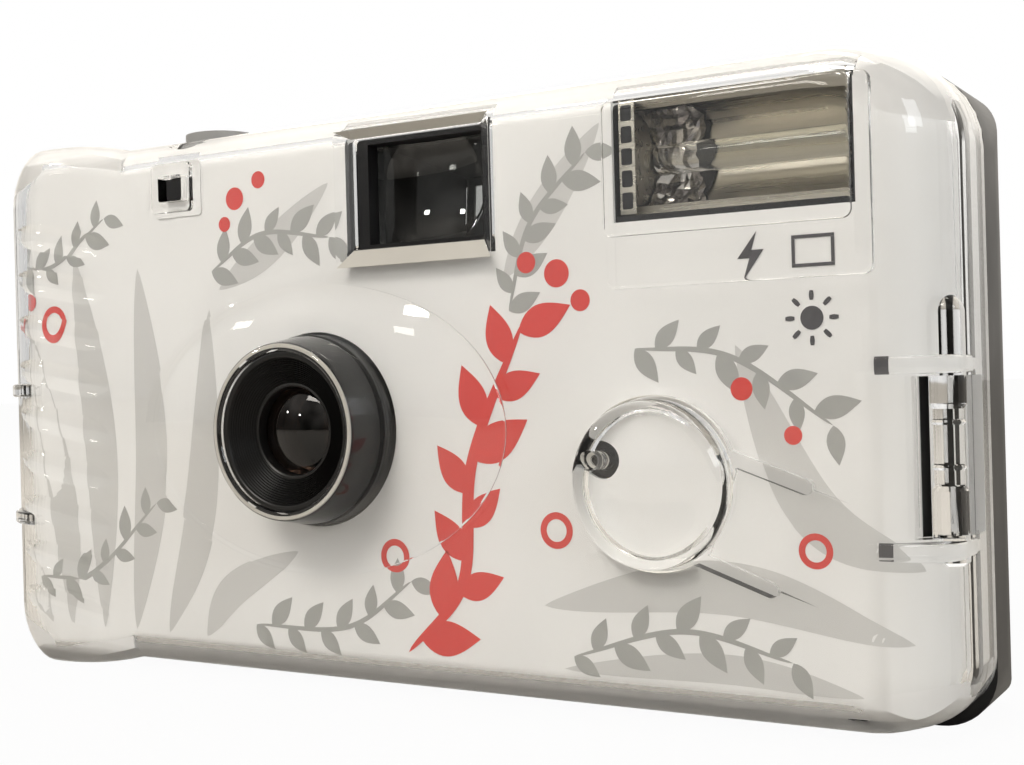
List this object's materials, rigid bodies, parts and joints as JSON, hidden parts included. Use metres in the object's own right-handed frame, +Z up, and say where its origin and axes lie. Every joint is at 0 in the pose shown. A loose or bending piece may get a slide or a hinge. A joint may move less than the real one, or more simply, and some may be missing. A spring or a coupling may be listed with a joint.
{
  "type": "disposable film camera",
  "caption": "Flat single-use film camera in a clear front cover over a printed card, with a short lens turret, viewfinder, flash and black back.",
  "frame": {"origin": "on the ground under the middle of the body", "axes": "+X to the viewer's right along the width, lens looks along -Y, +Z up"},
  "size_m": [0.116, 0.036, 0.06],
  "materials": {
    "clear_plastic": "clear polystyrene, polished",
    "optical_plastic": "clear moulded lens",
    "printed_card": "white printed card",
    "black_plastic": "fine matt texture",
    "hood_plastic": "dull black, fine rings",
    "blackened_steel": "blackened",
    "spring_steel": "drawn wire",
    "white_plastic": "acetal",
    "grey_plastic": "moulded",
    "cartridge_metal": "lacquered tin",
    "cap_metal": "lacquered tin",
    "film": "film base",
    "reflector_metal": "bright",
    "flash_glass": "glass tube",
    "board": "paper laminate",
    "capacitor_sleeve": "shrink sleeve",
    "transformer_tape": "tape",
    "copper": "lacquered wire",
    "lamp": "glass",
    "brass": "rolled strip",
    "cell_sleeve": "film sleeve",
    "plated_steel": "plated strip"
  },
  "bodies": {
    "camera": {"front_cover": "clear_plastic", "label_card": "printed_card", "rear_cover": "black_plastic", "chassis": "black_plastic", "mechanism_deck": "black_plastic", "lens_hood": "hood_plastic", "taking_lens": "optical_plastic", "aperture_plate": "hood_plastic", "blade_spring": "spring_steel", "striker_spring": "spring_steel", "release_spring": "spring_steel", "cartridge_shell": "cartridge_metal", "cartridge_caps": "cap_metal", "film_strip": "film", "counter_window": "clear_plastic", "finder_front_lens": "optical_plastic", "finder_eyepiece": "optical_plastic", "flash_reflector": "reflector_metal", "flash_tube": "flash_glass", "circuit_board": "board", "flash_capacitor": "capacitor_sleeve", "transformer": "transformer_tape", "trigger_coil": "copper", "ready_lamp": "lamp", "battery_cell": "cell_sleeve", "positive_contact": "plated_steel", "negative_contact": "plated_steel"},
    "advance_wheel": {"thumbwheel": "black_plastic", "cartridge_spool": "black_plastic"},
    "sprocket": {"sprocket_shaft": "white_plastic"},
    "counter": {"counter_disc": "white_plastic"},
    "supply": {"supply_spool": "black_plastic", "film_roll": "film"},
    "release": {"release_button": "grey_plastic"},
    "striker": {"striker_lever": "white_plastic"},
    "blade": {"shutter_blade": "blackened_steel"},
    "flash_key": {"flash_button": "clear_plastic"},
    "charge_switch": {"charge_contact": "brass"}
  },
  "joints": [
    {"name": "thumbwheel_turn", "type": "hinge", "parent": "camera", "child": "advance_wheel", "pos_m": [-0.0418, 0.004, 0.052], "axis": [0, 0, 1], "continuous": true},
    {"name": "sprocket_turn", "type": "hinge", "parent": "camera", "child": "sprocket", "pos_m": [-0.0228, 0.0088, 0.048], "axis": [0, 0, 1], "continuous": true},
    {"name": "counter_turn", "type": "hinge", "parent": "camera", "child": "counter", "pos_m": [-0.0126, 0.00779, 0.053], "axis": [0, 0, 1], "continuous": true},
    {"name": "supply_turn", "type": "hinge", "parent": "camera", "child": "supply", "pos_m": [0.0315, 0.0046, 0.027], "axis": [0, 0, 1], "continuous": true},
    {"name": "release_press", "type": "slide", "parent": "camera", "child": "release", "axis": [0, 0, -1], "range_m": [0, 0.0013], "stiffness_N_per_m": 800, "deforming": ["release_spring"]},
    {"name": "striker_swing", "type": "hinge", "parent": "camera", "child": "striker", "pos_m": [-0.0175, -0.0015, 0.0517], "axis": [0, 0, 1], "range_deg": [0, 27], "stiffness_Nm_per_rad": 0.003},
    {"name": "blade_swing", "type": "hinge", "parent": "camera", "child": "blade", "pos_m": [-0.0142, -0.00755, 0.0415], "axis": [0, 1, 0], "range_deg": [0, 19]},
    {"name": "flash_press", "type": "hinge", "parent": "camera", "child": "flash_key", "pos_m": [0.04412, -0.0127, 0.01755], "axis": [-0.342, 0, -0.9397], "range_deg": [0, 3], "stiffness_Nm_per_rad": 0.4},
    {"name": "contact_bend", "type": "hinge", "parent": "camera", "child": "charge_switch", "pos_m": [0.02607, -0.0084, 0.01362], "axis": [-1, 0, 0], "range_deg": [0, 6]}
  ],
  "couplings": [
    {"joint": "sprocket_turn", "follows": "thumbwheel_turn", "ratio": 0.91},
    {"joint": "counter_turn", "follows": "thumbwheel_turn", "ratio": -0.0303},
    {"joint": "supply_turn", "follows": "thumbwheel_turn", "ratio": 0.598},
    {"joint": "blade_swing", "follows": "striker_swing", "ratio": 0.6667},
    {"joint": "contact_bend", "follows": "flash_press", "ratio": 1.85}
  ]
}
